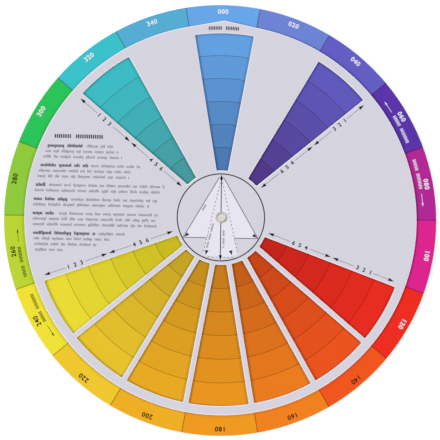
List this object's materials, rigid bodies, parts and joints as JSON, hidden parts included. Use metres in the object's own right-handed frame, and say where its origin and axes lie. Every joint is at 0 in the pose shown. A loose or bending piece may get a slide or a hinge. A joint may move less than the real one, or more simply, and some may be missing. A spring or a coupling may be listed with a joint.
{
  "type": "color mixing wheel",
  "caption": "Round printed card between two turning dials, joined at the centre by a brass eyelet. The dials' windows show tones, shades and tints of the hues round the rim.",
  "frame": {"origin": "on the pivot axis, in the plane of the back dial's face, on which the wheel lies", "axes": "+Z out of the front face, along the pivot; +Y from the pivot to the front dial's pointer; +X to the right of the pointer, seen from the front"},
  "size_m": [0.235, 0.235, 0.0026],
  "materials": {
    "white_board": "cut white board",
    "hue_facing": "printed paper under a satin film",
    "tint_facing": "printed paper under a satin film",
    "grey_facing": "printed paper under a satin film",
    "eyelet_brass": "pale brass, rolled and polished"
  },
  "bodies": {
    "base": {"base_core": "white_board", "base_front_sheet": "hue_facing", "base_back_sheet": "tint_facing", "eyelet": "eyelet_brass"},
    "front_dial": {"front_dial_board": "white_board", "front_dial_sheet": "grey_facing"},
    "back_dial": {"back_dial_board": "white_board", "back_dial_sheet": "grey_facing"}
  },
  "joints": [
    {"name": "front_dial_turn", "type": "hinge", "parent": "base", "child": "front_dial", "pos_m": [0, 0, 0.0019], "axis": [0, 0, 1], "continuous": true},
    {"name": "back_dial_turn", "type": "hinge", "parent": "base", "child": "back_dial", "pos_m": [0, 0, 0.0003], "axis": [0, 0, 1], "continuous": true}
  ]
}
